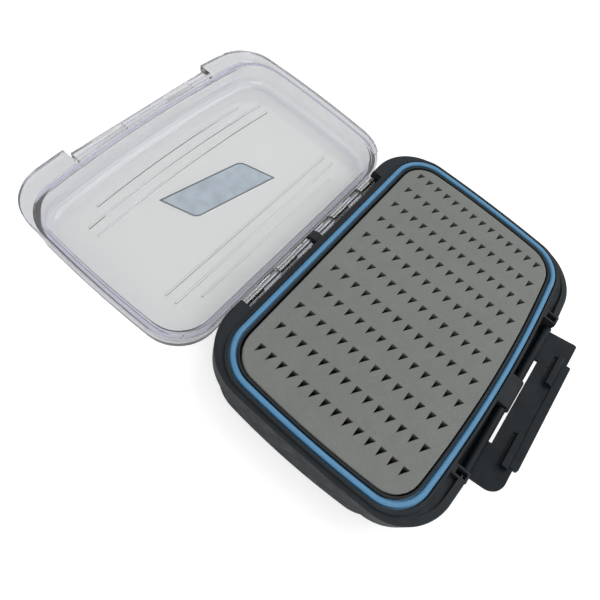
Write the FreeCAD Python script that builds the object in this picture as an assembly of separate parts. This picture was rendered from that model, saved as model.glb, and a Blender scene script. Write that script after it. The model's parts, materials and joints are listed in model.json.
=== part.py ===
import FreeCAD, Part
import math
import os
from collections import namedtuple

# A flat fly box, drawn open. The opaque base stands on its underside. The clear lid lies open beside it,
# turned half a turn about the hinge at the rear. The latch stands out from the front.
# X runs along the hinge, Y from the latch towards the hinge, Z up. The origin is on the surface
# that the box stands on, below the middle of the foam. All sizes are in millimetres.

V = FreeCAD.Vector
X_AXIS = V(1, 0, 0)
Z_AXIS = V(0, 0, 1)
HALF_TURN = 180.0
QUARTER_TURN = 90.0

# Driving sizes

seal_half_length = 73.5        # middle line of the seal, from the centre to a short side
seal_rear = 46.1               # middle line of the seal, hinge side
seal_front = 45.5              # middle line of the seal, latch side, at its middle
seal_corner_radius = 15.8
side_bow = 1.9                 # how far a short side stands out at its middle
front_bow = 4.2                # how far the latch side stands out at its middle
base_height = 30.2             # underside to rim
lid_height = 14.7              # rim to the lid's top
rim_gap = 0.2                  # between the closed lid and the base
cut_overrun = 1.0

# Sizes of the base

base_wall = 2.4
base_floor = 2.4
foot_fillet = 2.6
rim_side_outset = 2.7          # middle line of the seal to the rim's outside, on the short sides
rim_rear_outset = 2.3
rim_front_outset = 2.8
rim_corner_radius = 17.0
rim_step = 1.5                 # the rim stands this far above the flange
groove_width = 3.3
groove_depth = 2.3
rim_inner_wall = 0.85
body_side_outset = 1.0         # rim's outside to the body's, on the short sides
body_front_outset = 0.3
body_side_bow = 3.2
flange_outset = 0.8            # body's side to the flange's, at the middle of a short side
body_corner_radius = 20.0
flange_rear = 55.4
flange_front = 55.6
flange_corner_radius = 23.5
flange_drop = 12.0             # height of the flange's upright edge
flange_slope = 6.0             # height of the slope under it
flange_fillet = 1.5
ledge_width = 3.2
ledge_thickness = 2.0
post_radius = 3.0
post_x = 34.0
post_y = 18.0

# Sizes of the foam and what carries it

foam_thickness = 8.0
foam_below_rim = 0.0
foam_gap = 0.55                # all round the foam, inside the rim
foam_rear_gap = 0.95           # on the hinge side
adhesive_thickness = 0.3
adhesive_inset = 0.4
insert_thickness = 2.0
insert_gap = 0.3

# Slots in the foam: rows across the box, tips towards the near short side

row_count = 11
row_pitch = 12.05
slot_count = 14
slot_pitch = 5.6
slot_length = 4.2
slot_width = 2.7
slot_depth = 6.0
first_slot_inset = 6.3         # foam's hinge edge to the first slot's middle
row_offset = 2.1               # the pattern stands this far towards the far end
row_taper_share = 0.0324       # how much shorter the outer rows are, square term
row_taper_end_share = 0.0226   # and fourth power term
slot_tip_share = 0.667         # of a slot's length, from its middle to its tip

# Sizes of the seal

seal_width = 2.1               # of the bead
seal_side_gap = 0.1            # the foot to the groove's sides
seal_foot = 0.9                # height of the foot
seal_proud = 0.6
seal_fillet = 0.8

# Hinge

hinge_y = 54.0
barrel_radius = 2.4
hinge_pin_radius = 1.0
pin_running_gap = 0.05
hinge_recess_half = 47.8       # centre to a corner block
hinge_recess_wall = 1.8        # rim's outside to the recess's wall
hinge_lug_half = 2.15
knuckle_gap = 0.6
knuckles_per_side = 4
knuckle_open_share = 0.12      # of the barrel's radius, from its axis to the open half's cut
pin_seat = 4.4                 # how deep a pin goes into the corner block
pin_lug_seat = 1.8             # and into the lug
leaf_thickness = 3.0
leaf_offset = 1.5              # the leaf's inner face to the axis
lug_rise = 0.4

# Sizes of the lid

lid_half_length = 78.2
lid_rear = 48.8
lid_front = 49.6
lid_corner_radius = 19.4
lid_wall = 3.0
lid_top = 2.0
lid_outer_fillet = 4.4
lid_inner_fillet = 5.0
lid_seal_gap = 0.4             # between the closed lid and the seal
lid_rim_outset = 1.0           # wall's outside to the rim's
lid_rim_thickness = 2.0
skirt_gap = 0.4                # base rim's outside to the lid's skirt
skirt_back = 44.0              # the skirt ends this far behind the middle
lid_flange_front = 57.6
lid_flange_radius = 20.5
lid_flange_thickness = 3.6
lid_flange_fillet = 0.8
lid_flange_inset = 0.3         # the corner flange's side lies this far inside the rim's
lid_flange_end = 2.9           # the latch's end to the end of a corner flange
lid_flange_back = 26.0         # the corner flange runs out this far from the centre
strip_end = 1.0                # the strip ends this far past the latch's end
strip_front = 53.9
strip_thickness = 3.0
catch_from = 13.0
catch_to = 30.6
catch_depth = 0.7
catch_inset = 0.8
rib_width = 1.0
rib_height = 0.9
rib_half_long = 58.8
rib_half_short = 48.3
rib_bow = 2.4
rear_rib_y = 21.7
front_rib_y = -22.4
rib_pitch = 5.8

# Badge, a blank slanted plate on the lid's outside

badge_length = 48.0
badge_width = 19.6
badge_tilt = 12.0
badge_lean = 17.0
badge_x = 1.6
badge_y = -2.4
badge_thickness = 0.6
badge_pocket = 0.8
badge_gap = 0.15
badge_round = 5.0

# Latch

latch_y = -53.3
latch_drop = 4.5               # flange's top to the axis
latch_half = 40.8
latch_end_gap = 0.6            # between the latch's end and the ear
latch_reach = 14.3             # axis to the plate's edge
latch_face_drop = 1.0          # axis to the plate's inner face
latch_thickness = 1.5
latch_round = 6.0
latch_sharp = 1.2
latch_lip_half = 28.0
latch_lip = 1.7
latch_lip_rise = 0.5
latch_barrel_radius = 1.9
latch_pin_radius = 0.9
latch_window_half = 23.3
latch_window_from = 1.9
latch_window_to = 3.3
latch_rest_tilt = 16.0
hook_from = 13.5
hook_to = 30.0
hook_gap = 0.4                 # between the hook and the lid's strip when closed
hook_length = 2.8
hook_rise = 2.6                # over the plate's inner face
hook_lead = 1.2
hook_groove = 1.3
hook_groove_depth = 0.6
latch_lug_half = 7.7
latch_lug_gap = 0.5
latch_lug_radius = 2.8
ear_rib = 0.9
ear_slot = 2.8
ear_front = 54.0
ear_drop = 9.0
ear_slot_depth = 6.0
shelf_gap = 0.5                # between the level latch's underside and the shelf under it
shelf_reach = 0.3              # the shelf runs out this far past the latch's axis
shelf_thickness = 2.0
latch_pin_lug_seat = 3.6

# Pockets in the front corner flanges

pocket_depth = 2.4             # at the ear, from where the floor rises to nothing
pocket_lip = 3.2               # pocket to the flange's edge
pocket_ridge = 0.5             # rim's outside to the pocket
pocket_length = 22.0           # from the ear's end to where its floor meets the flange's top

# Derived levels

flange_top = base_height - rim_step
foam_top = base_height - foam_below_rim
foam_bottom = foam_top - foam_thickness
insert_top = foam_bottom - adhesive_thickness
ledge_top = insert_top - insert_thickness
ledge_bottom = ledge_top - ledge_thickness
groove_floor = base_height - groove_depth
lid_rim = base_height + rim_gap
lid_crown = lid_rim + lid_height
hinge_z = lid_crown / 2.0
skirt_bottom = flange_top + rim_gap
latch_z = flange_top - latch_drop
ear_from = latch_half + latch_end_gap
lid_flange_half = latch_half + lid_flange_end
strip_half = latch_half + strip_end
strip_top = lid_rim + strip_thickness
hook_start = strip_top + hook_gap - latch_z
latch_face = latch_z - latch_face_drop
latch_under = latch_face - latch_thickness
seal_top = base_height + seal_proud
seal_room_top = seal_top + lid_seal_gap
ear_to = ear_from + ear_rib + ear_slot + ear_rib
pocket_to = ear_to + pocket_length

Loop = namedtuple("Loop", "half rear front radius bow")

seal_loop = Loop(seal_half_length, seal_rear, seal_front, seal_corner_radius, side_bow)


def grow(loop, step):
    return Loop(loop.half + step, loop.rear + step, loop.front + step, loop.radius + step, loop.bow)


rim_loop = Loop(
    seal_loop.half + rim_side_outset,
    seal_loop.rear + rim_rear_outset,
    seal_loop.front + rim_front_outset,
    rim_corner_radius,
    side_bow,
)
recess_loop = grow(seal_loop, -(groove_width / 2.0 + rim_inner_wall))
body_loop = Loop(
    rim_loop.half + body_side_outset,
    rim_loop.rear + hinge_recess_wall,
    rim_loop.front + body_front_outset,
    body_corner_radius,
    body_side_bow,
)
flange_loop = Loop(
    body_loop.half + flange_outset, flange_rear, flange_front, flange_corner_radius, side_bow
)
lid_loop = Loop(lid_half_length, lid_rear, lid_front, lid_corner_radius, side_bow)
lid_rim_loop = grow(lid_loop, lid_rim_outset)
lid_flange_loop = lid_rim_loop._replace(
    half=lid_rim_loop.half - lid_flange_inset, front=lid_flange_front, radius=lid_flange_radius
)


# Building blocks


def save(node, shape):
    shape.exportStep(os.path.join("parts", node + ".step"))


def box(x0, x1, y0, y1, z0, z1):
    return Part.makeBox(x1 - x0, y1 - y0, z1 - z0, V(x0, y0, z0))


def rod(radius, x0, x1, y, z):
    return Part.makeCylinder(radius, x1 - x0, V(x0, y, z), X_AXIS)


def fuse(first, *others):
    return first.fuse(list(others)).removeSplitter()


def drum(loop, z0, z1):
    """An upright block of the box's outline: straight at the hinge, bowed elsewhere, with round corners."""
    middle = (loop.rear - loop.front) / 2.0
    corner_x = loop.half - loop.bow
    corner_y = -(loop.front - front_bow)
    rear_left = V(-corner_x, loop.rear, z0)
    rear_right = V(corner_x, loop.rear, z0)
    front_right = V(corner_x, corner_y, z0)
    front_left = V(-corner_x, corner_y, z0)
    edges = [
        Part.LineSegment(rear_left, rear_right).toShape(),
        Part.Arc(rear_right, V(loop.half, middle, z0), front_right).toShape(),
        Part.Arc(front_right, V(0, -loop.front, z0), front_left).toShape(),
        Part.Arc(front_left, V(-loop.half, middle, z0), rear_left).toShape(),
    ]
    block = Part.Face(Part.Wire(edges)).extrude(V(0, 0, z1 - z0))
    upright = [e for e in block.Edges if is_upright(e)]
    return block.makeFillet(loop.radius, upright)


def is_upright(edge):
    a = edge.Vertexes[0].Point
    b = edge.Vertexes[-1].Point
    return abs(a.z - b.z) > abs(a.x - b.x) + abs(a.y - b.y) and len(edge.Vertexes) == 2


def level_edges(shape, z):
    """The edges that lie wholly at one height."""
    near = base_wall / 1000.0
    return [e for e in shape.Edges if max(abs(e.BoundBox.ZMin - z), abs(e.BoundBox.ZMax - z)) < near]


def outline_wire(loop, z):
    block = drum(loop, z, z + base_wall)
    faces = [f for f in block.Faces if f.BoundBox.ZMax - z < base_wall / 2.0]
    return faces[0].OuterWire


def ring(outer, inner, z0, z1):
    return drum(outer, z0, z1).cut(drum(inner, z0 - cut_overrun, z1 + cut_overrun))


def mirrored(shape):
    return shape.mirror(V(0, 0, 0), X_AXIS)


def both_sides(shape):
    return [shape, mirrored(shape)]


# Base


def base_flange():
    """The flange with its corner blocks, open where the hinge and the latch sit."""
    edge_bottom = flange_top - flange_drop
    slope_bottom = edge_bottom - flange_slope
    edge = drum(flange_loop, edge_bottom, flange_top)
    edge = edge.makeFillet(flange_fillet, level_edges(edge, flange_top))
    wires = [outline_wire(grow(body_loop, -flange_outset), slope_bottom), outline_wire(flange_loop, edge_bottom)]
    slope = Part.makeLoft(wires, True, True)
    flange = edge.fuse(slope)
    low = slope_bottom - cut_overrun
    high = flange_top + cut_overrun
    far = flange_loop.rear + cut_overrun
    near = -(flange_loop.front + cut_overrun)
    hinge_cut = box(-hinge_recess_half, hinge_recess_half, 0, far, low, high)
    latch_cut = box(-ear_from, ear_from, near, 0, low, high)
    return flange.cut([hinge_cut, latch_cut])


def base_body():
    body = drum(body_loop, 0, flange_top)
    body = body.makeFillet(foot_fillet, level_edges(body, 0))
    return body


def latch_ear():
    """One ear: two upright ribs with a gap between them, at the end of the latch, and the gap to be cut."""
    ear_bottom = flange_top - ear_drop
    ear = box(ear_from, ear_to, -ear_front, -body_loop.front / 2.0, ear_bottom, flange_top)
    inside = drum(grow(body_loop, -base_wall), ear_bottom - cut_overrun, flange_top + cut_overrun)
    gap_from = ear_from + ear_rib
    gap = box(
        gap_from, gap_from + ear_slot, -ear_front + ear_rib, -body_loop.front,
        flange_top - ear_slot_depth, flange_top + cut_overrun,
    )
    return ear.cut(inside), gap


def latch_lug():
    """The middle bearing of the latch, which stands out from the front wall."""
    block = box(
        -latch_lug_half, latch_lug_half, latch_y, -(body_loop.front - base_wall),
        latch_z - latch_lug_radius, latch_z + latch_lug_radius,
    )
    return block.fuse(rod(latch_lug_radius, -latch_lug_half, latch_lug_half, latch_y, latch_z))


def latch_shelf():
    """The shelf between the ears, under the latch's barrels. Its edge stops the latch below level."""
    top = latch_under - shelf_gap
    inner = body_loop.front - front_bow - base_wall / 2.0
    return box(-ear_from, ear_from, latch_y - shelf_reach, -inner, top - shelf_thickness, top)


def hinge_lug():
    """The middle bearing of the hinge pins, which stands out from the rear wall."""
    block = box(
        -hinge_lug_half, hinge_lug_half, body_loop.rear - base_wall, hinge_y,
        hinge_z - barrel_radius, hinge_z + barrel_radius + lug_rise,
    )
    return block.fuse(rod(barrel_radius, -hinge_lug_half, hinge_lug_half, hinge_y, hinge_z))


def flange_pocket():
    """The crescent pocket between rim and flange edge. Its floor rises from the ear towards the corner."""
    low = flange_top - pocket_depth
    high = flange_top + cut_overrun
    outer = drum(grow(flange_loop, -pocket_lip), low, high)
    inner = drum(grow(rim_loop, pocket_ridge), low - cut_overrun, high + cut_overrun)
    side = [
        V(ear_to, 0, low), V(pocket_to, 0, flange_top), V(pocket_to, 0, high), V(ear_to, 0, high),
    ]
    wedge = Part.Face(Part.makePolygon(side + side[:1])).extrude(V(0, -flange_loop.front, 0))
    return outer.cut(inner).common(wedge)


def base_tray():
    rim = drum(rim_loop, flange_top - base_wall, base_height)
    ear, ear_gap = latch_ear()
    solid = base_body()
    for piece in [base_flange(), rim, hinge_lug(), latch_lug(), latch_shelf()] + both_sides(ear):
        solid = solid.fuse(piece)
    solid = solid.removeSplitter()
    high = base_height + cut_overrun
    cavity = drum(grow(body_loop, -base_wall), base_floor, ledge_bottom)
    mouth = drum(grow(recess_loop, -ledge_width), ledge_bottom - cut_overrun, ledge_top + cut_overrun)
    recess = drum(recess_loop, ledge_top, high)
    groove = ring(
        grow(seal_loop, groove_width / 2.0), grow(seal_loop, -groove_width / 2.0), groove_floor, high
    )
    cuts = [cavity, mouth, recess, groove]
    cuts += both_sides(ear_gap) + both_sides(flange_pocket())
    cuts += both_sides(hinge_pin_solid()) + both_sides(latch_pin_solid())
    for piece in cuts:
        solid = solid.cut(piece)
    posts = []
    for x in (-post_x, post_x):
        for y in (-post_y, post_y):
            low = base_floor - base_floor / 2.0
            posts.append(Part.makeCylinder(post_radius, ledge_top - low, V(x, y, low), Z_AXIS))
    return fuse(solid, *posts)


# Pins


def hinge_pin_solid():
    start = hinge_lug_half - pin_lug_seat
    return rod(hinge_pin_radius, start, hinge_recess_half + pin_seat, hinge_y, hinge_z)


def latch_pin_solid():
    start = latch_lug_half - latch_pin_lug_seat
    end = ear_to - ear_rib / 2.0
    return rod(latch_pin_radius, start, end, latch_y, latch_z)


# Seal, insert and foam


def gasket():
    """The seal: a bead with a rounded top on a wider foot that fills the groove's width."""
    half = seal_width / 2.0
    bead = ring(grow(seal_loop, half), grow(seal_loop, -half), groove_floor, seal_top)
    bead = bead.makeFillet(seal_fillet, level_edges(bead, seal_top))
    wide = groove_width / 2.0 - seal_side_gap
    foot = ring(grow(seal_loop, wide), grow(seal_loop, -wide), groove_floor, groove_floor + seal_foot)
    return fuse(foot, bead)


def insert_plate():
    return drum(grow(recess_loop, -insert_gap), ledge_top, insert_top)


foam_loop = Loop(
    recess_loop.half - foam_gap,
    recess_loop.rear - foam_rear_gap,
    recess_loop.front - foam_gap,
    recess_loop.radius - foam_gap,
    side_bow,
)


def foam_adhesive():
    return drum(grow(foam_loop, -adhesive_inset), insert_top, foam_bottom)


def slot_places():
    """Middles of the slots. Rows are straight at the hinge and shorten towards the ends, as the foam does."""
    middle = (row_count - 1) / 2.0
    first = foam_loop.rear - first_slot_inset
    for row in range(row_count):
        t = (row - middle) / middle
        pitch = slot_pitch * (1 - row_taper_share * t ** 2 - row_taper_end_share * t ** 4)
        for slot in range(slot_count):
            yield row_offset + (row - middle) * row_pitch, first - slot * pitch


def slot_wire(x, y, z):
    """A right triangle: its long side faces the hinge and its short side is at the far end."""
    tip_x = x - slot_tip_share * slot_length
    side_y = y + (1 - slot_tip_share) * slot_width
    tip = V(tip_x, side_y, z)
    heel = V(tip_x + slot_length, side_y, z)
    toe = V(tip_x + slot_length, side_y - slot_width, z)
    return Part.makePolygon([tip, heel, toe, tip])


def foam_pad():
    slot_floor = foam_top - slot_depth
    lower = drum(foam_loop, foam_bottom, slot_floor)
    outer = outline_wire(foam_loop, slot_floor)
    sheet = Part.Face(outer)
    holes = [Part.Face(slot_wire(x, y, slot_floor)) for x, y in slot_places()]
    upper = sheet.cut(holes).extrude(V(0, 0, slot_depth))
    return lower.fuse(upper).removeSplitter()


# Lid, drawn closed and then turned open


def lid_ribs():
    """Thin ribs inside the lid's top: three straight ones near the hinge, three bowed ones near the latch."""
    z1 = lid_crown - lid_top + cut_overrun / 2.0
    z0 = lid_crown - lid_top - rib_height
    ribs = []
    for i, half in enumerate((rib_half_long, rib_half_long, rib_half_short)):
        y = rear_rib_y + i * rib_pitch
        ribs.append(box(-half, half, y - rib_width / 2.0, y + rib_width / 2.0, z0, z1))
        y = front_rib_y - i * rib_pitch
        ribs.append(bowed_rib(half, y, z0, z1))
    return ribs


def bowed_rib(half, y, z0, z1):
    near = y - rib_width / 2.0
    far = y + rib_width / 2.0
    bow = rib_bow * (half / rib_half_long) ** 2
    edges = [
        Part.Arc(V(-half, far + bow, z0), V(0, far, z0), V(half, far + bow, z0)).toShape(),
        Part.LineSegment(V(half, far + bow, z0), V(half, near + bow, z0)).toShape(),
        Part.Arc(V(half, near + bow, z0), V(0, near, z0), V(-half, near + bow, z0)).toShape(),
        Part.LineSegment(V(-half, near + bow, z0), V(-half, far + bow, z0)).toShape(),
    ]
    return Part.Face(Part.Wire(edges)).extrude(V(0, 0, z1 - z0))


def lid_knuckles():
    """One hinge half: a ledge behind the rear wall, a leaf down to the axis, and barrels open by turns."""
    start = hinge_lug_half + knuckle_gap
    end = hinge_recess_half - knuckle_gap
    leaf_in = hinge_y - leaf_offset
    leaf_out = leaf_in + leaf_thickness
    ledge = box(start, end, lid_rear - lid_wall, leaf_out, lid_rim, lid_rim + leaf_thickness)
    leaf = box(start, end, leaf_in, leaf_out, hinge_z, lid_rim + leaf_thickness)
    barrel = rod(barrel_radius, start, end, hinge_y, hinge_z)
    bore = rod(hinge_pin_radius + pin_running_gap, start - cut_overrun, end + cut_overrun, hinge_y, hinge_z)
    length = (end - start) / knuckles_per_side
    side = hinge_y - barrel_radius - cut_overrun
    opens = []
    for i in range(0, knuckles_per_side, 2):
        x0 = start + i * length
        cut_z = hinge_z - knuckle_open_share * barrel_radius
        opens.append(
            box(x0, x0 + length, side, side + 2 * (barrel_radius + cut_overrun),
                hinge_z - barrel_radius - cut_overrun, cut_z)
        )
    return ledge.fuse([leaf, barrel]), [bore] + opens


def lid_front_pieces():
    """The corner flanges and, between them, the strip that the latch hooks over."""
    high = skirt_bottom + lid_flange_thickness
    flange = drum(lid_flange_loop, skirt_bottom, high)
    flange = flange.makeFillet(lid_flange_fillet, level_edges(flange, high))
    far = lid_flange_loop.front + cut_overrun
    low = skirt_bottom - cut_overrun
    middle_cut = box(-lid_flange_half, lid_flange_half, -far, lid_rear + cut_overrun, low, high + cut_overrun)
    back_cut = box(
        -lid_half_length - cut_overrun, lid_half_length + cut_overrun, -lid_flange_back,
        lid_rear + cut_overrun, low, high + cut_overrun,
    )
    corners = flange.cut([middle_cut, back_cut])
    strip = box(-strip_half, strip_half, -strip_front, -lid_flange_back, lid_rim, strip_top)
    catches = []
    for x0, x1 in ((catch_from, catch_to), (-catch_to, -catch_from)):
        catches.append(
            box(x0, x1, -strip_front + catch_inset, -lid_front_wall(x1), lid_rim - cut_overrun,
                lid_rim + catch_depth)
        )
    return corners, strip, catches


def lid_front_wall(x):
    """Distance of the lid's bowed front wall from the centre line, at one place along it, about."""
    return lid_loop.front - front_bow * (x / lid_loop.half) ** 2 + catch_inset / 2.0


def badge_block(grow_by, z0, z1):
    """The badge's slanted plate: long sides tilted, short sides leaning, two round and two sharp corners."""
    tilt = math.radians(badge_tilt)
    lean = math.radians(badge_lean)
    half = badge_length / 2.0 + grow_by
    side = badge_width / 2.0 + grow_by
    along = V(math.cos(tilt), math.sin(tilt), 0) * half
    across = V(math.sin(lean), math.cos(lean), 0) * side
    middle = V(badge_x, badge_y, z0)
    corners = [
        middle - along - across,
        middle + along - across,
        middle + along + across,
        middle - along + across,
    ]
    block = Part.Face(Part.makePolygon(corners + corners[:1])).extrude(V(0, 0, z1 - z0))
    round_at = (corners[1], corners[3])
    edges = [e for e in block.Edges if is_upright(e) and at_corner(e, round_at)]
    return block.makeFillet(badge_round, edges)


def badge():
    low = lid_crown - badge_pocket
    return badge_block(0, low, low + badge_thickness)


def at_corner(edge, places):
    p = edge.Vertexes[0].Point
    return any(math.hypot(p.x - q.x, p.y - q.y) < badge_gap for q in places)


def closed_lid():
    shell = drum(lid_loop, lid_rim, lid_crown)
    shell = shell.makeFillet(lid_outer_fillet, level_edges(shell, lid_crown))
    rim_top = lid_rim + lid_rim_thickness
    rim = drum(lid_rim_loop, skirt_bottom, rim_top)
    corners, strip, catches = lid_front_pieces()
    knuckles, knuckle_cuts = lid_knuckles()
    solid = shell
    for piece in [rim, corners, strip] + both_sides(knuckles):
        solid = solid.fuse(piece)
    solid = solid.removeSplitter()
    low = skirt_bottom - cut_overrun
    hollow = drum(grow(lid_loop, -lid_wall), low, lid_crown - lid_top)
    hollow = hollow.makeFillet(lid_inner_fillet, level_edges(hollow, lid_crown - lid_top))
    seat = drum(grow(rim_loop, skirt_gap), low, lid_rim)
    seal_room = drum(grow(seal_loop, seal_width / 2.0 + lid_seal_gap), low, seal_room_top)
    far = lid_flange_loop.half + cut_overrun
    back = box(-far, far, skirt_back, lid_rim_loop.rear + cut_overrun, low, lid_rim)
    pocket = badge_block(badge_gap, lid_crown - badge_pocket, lid_crown + cut_overrun)
    for piece in [hollow, seat, seal_room, back, pocket] + catches:
        solid = solid.cut(piece)
    for cut in knuckle_cuts:
        for piece in both_sides(cut):
            solid = solid.cut(piece)
    return solid.fuse(lid_ribs()).removeSplitter()


def turned_open(shape):
    shape.rotate(V(0, hinge_y, hinge_z), X_AXIS, HALF_TURN)
    return shape


# Latch, drawn level and then tilted up to where it rests


def latch_plate():
    z0 = latch_under
    z1 = latch_face
    plate = box(-latch_half, latch_half, latch_y - latch_reach, latch_y, z0, z1)
    near_corner = [e for e in outer_upright(plate) if e.BoundBox.XMax < 0]
    plate = plate.makeFillet(latch_round, near_corner)
    far_corner = [e for e in outer_upright(plate) if e.BoundBox.XMin > latch_half / 2.0]
    plate = plate.makeFillet(latch_sharp, far_corner)
    lip_y = latch_y - latch_reach
    lip = box(-latch_lip_half, latch_lip_half, lip_y - latch_lip, lip_y + latch_lip, z0, z1 + latch_lip_rise)
    upright = [e for e in lip.Edges if is_upright(e) and e.BoundBox.YMax < lip_y]
    lip = lip.makeFillet(latch_lip / 2.0, upright)
    return plate.fuse(lip)


def outer_upright(plate):
    return [e for e in plate.Edges if is_upright(e) and e.BoundBox.YMax < latch_y - latch_reach / 2.0]


def latch_hooks():
    """Two hooks on the plate's inner side, each with a lead in on its outer side and a groove before it."""
    z0 = latch_face - latch_thickness / 2.0
    z1 = latch_face + hook_rise
    y_in = latch_y - hook_start
    y_out = y_in - hook_length
    hook = box(hook_from, hook_to, y_out, y_in, z0, z1)
    top_out = [e for e in level_edges(hook, z1) if e.BoundBox.YMax < (y_in + y_out) / 2.0]
    hook = hook.makeChamfer(hook_lead, top_out)
    groove = box(
        hook_from, hook_to, y_in, y_in + hook_groove,
        latch_face - hook_groove_depth, latch_face + cut_overrun,
    )
    return hook, groove


def latch():
    plate = latch_plate()
    hook, groove = latch_hooks()
    start = latch_lug_half + latch_lug_gap
    barrel = rod(latch_barrel_radius, start, latch_half, latch_y, latch_z)
    solid = plate.cut(both_sides(groove))
    z0 = latch_under - cut_overrun
    z1 = latch_face + cut_overrun
    slit = box(
        -latch_window_half, latch_window_half, latch_y - latch_window_to, latch_y - latch_window_from, z0, z1
    )
    lug_room = box(-start, start, latch_y - latch_window_to, latch_y + cut_overrun, z0, z1)
    solid = solid.cut([slit, lug_room])
    solid = fuse(solid, *(both_sides(barrel) + both_sides(hook)))
    bore_gap = latch_pin_radius + pin_running_gap
    bore = rod(bore_gap, start - cut_overrun, latch_half + cut_overrun, latch_y, latch_z)
    solid = solid.cut(both_sides(bore))
    solid.rotate(V(0, latch_y, latch_z), X_AXIS, -latch_rest_tilt)
    return solid


def main():
    os.makedirs("parts", exist_ok=True)
    save("base_tray", base_tray())
    save("gasket", gasket())
    save("insert_plate", insert_plate())
    save("foam_adhesive", foam_adhesive())
    save("foam_pad", foam_pad())
    save("lid", turned_open(closed_lid()))
    save("badge", turned_open(badge()))
    save("hinge_pin_right", hinge_pin_solid())
    save("hinge_pin_left", mirrored(hinge_pin_solid()))
    save("latch", latch())
    save("latch_pin_right", latch_pin_solid())
    save("latch_pin_left", mirrored(latch_pin_solid()))


main()
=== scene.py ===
import json
import math

import bmesh
import bpy
import numpy as np
from bpy.props import FloatProperty, FloatVectorProperty, IntProperty, PointerProperty
from mathutils import Matrix, Vector


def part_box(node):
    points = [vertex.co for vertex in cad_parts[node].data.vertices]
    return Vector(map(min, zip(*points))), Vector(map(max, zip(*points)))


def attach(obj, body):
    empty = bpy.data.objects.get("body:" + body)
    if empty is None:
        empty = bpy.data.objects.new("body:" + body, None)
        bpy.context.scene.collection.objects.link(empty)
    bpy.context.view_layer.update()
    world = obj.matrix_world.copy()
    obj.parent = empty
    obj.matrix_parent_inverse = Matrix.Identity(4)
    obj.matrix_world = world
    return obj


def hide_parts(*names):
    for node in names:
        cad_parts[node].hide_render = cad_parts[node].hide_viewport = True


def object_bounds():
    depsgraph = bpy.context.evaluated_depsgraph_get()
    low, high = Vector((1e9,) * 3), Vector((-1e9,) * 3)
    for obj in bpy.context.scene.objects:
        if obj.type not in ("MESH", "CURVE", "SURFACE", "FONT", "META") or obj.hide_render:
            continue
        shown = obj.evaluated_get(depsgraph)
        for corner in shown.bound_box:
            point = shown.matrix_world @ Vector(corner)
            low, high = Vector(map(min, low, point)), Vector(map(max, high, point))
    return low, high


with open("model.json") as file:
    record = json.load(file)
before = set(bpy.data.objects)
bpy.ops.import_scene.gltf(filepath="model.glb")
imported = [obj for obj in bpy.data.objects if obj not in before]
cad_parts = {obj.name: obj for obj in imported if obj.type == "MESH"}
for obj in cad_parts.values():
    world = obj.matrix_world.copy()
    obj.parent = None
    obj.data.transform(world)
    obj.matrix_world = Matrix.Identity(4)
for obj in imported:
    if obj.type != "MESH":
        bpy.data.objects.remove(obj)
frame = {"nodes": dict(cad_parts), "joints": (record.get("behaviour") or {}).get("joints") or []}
CAD_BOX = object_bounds()

bl_info = {
    "name": "Fly box",
    "version": (1, 0, 0),
    "blender": (4, 5, 0),
    "location": "View3D > Sidebar > Fly box",
    "description": "Finishes of a flat fly box: moulded base, slotted foam, blue seal, clear lid and latch",
    "category": "Object",
}

MM = 0.001
RENDER_PIXELS = 600

# Where the camera stands, measured from the photograph, in metres
CAMERA_PLACE = Vector((-0.12069, 0.01399, 0.20369))
CAMERA_RIGHT = Vector((0.61383, -0.76137, 0.20863))
CAMERA_UP = Vector((0.64807, 0.63690, 0.41756))
CAMERA_FOCAL_PIXELS = 488.55
SENSOR_MM = 36.0
CAMERA_REACH = (0.005, 20.0)     # nearest and farthest distance that it sees

# Lamps: side of the square and place, in metres
KEY_LAMP = (0.8, Vector((0.50, -0.25, 1.00)))
FILL_LAMP = (0.7, Vector((-0.70, -0.60, 0.75)))


class FoamSizes(bpy.types.PropertyGroup):
    rows: IntProperty(name="Rows", description="Rows of slots across the box", default=11, min=3)
    slots: IntProperty(
        name="Slots in a row", description="Slots from the hinge to the latch", default=14, min=3)
    row_pitch: FloatProperty(
        name="Row pitch", description="Distance between rows", default=12.05 * MM, unit="LENGTH")
    slot_pitch: FloatProperty(
        name="Slot pitch", description="Distance between slots in the middle row", default=5.6 * MM,
        unit="LENGTH")
    first_slot: FloatProperty(
        name="First slot", description="Foam's hinge edge to the first slot's middle", default=6.3 * MM,
        unit="LENGTH")
    row_shift: FloatProperty(
        name="Row shift", description="How far the rows stand towards the far end", default=2.1 * MM,
        unit="LENGTH")
    slot_length: FloatProperty(
        name="Slot length", description="Tip to short side of a slot", default=4.2 * MM, unit="LENGTH")
    slot_width: FloatProperty(
        name="Slot width", description="Width of a slot at its short side", default=2.7 * MM, unit="LENGTH")
    slot_depth: FloatProperty(
        name="Slot depth", description="Depth of a slot", default=6.0 * MM, unit="LENGTH")
    lip: FloatProperty(
        name="Lip", description="Width of the soft edge round a slot", default=0.22 * MM, unit="LENGTH")
    edge: FloatProperty(
        name="Edge rounding", description="Rounding of the foam's upper edge", default=0.6 * MM,
        unit="LENGTH")
    colour: FloatVectorProperty(
        name="Foam colour", description="Colour of the foam", default=(0.196, 0.203, 0.192),
        subtype="COLOR", size=3, min=0.0, max=1.0)


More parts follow.
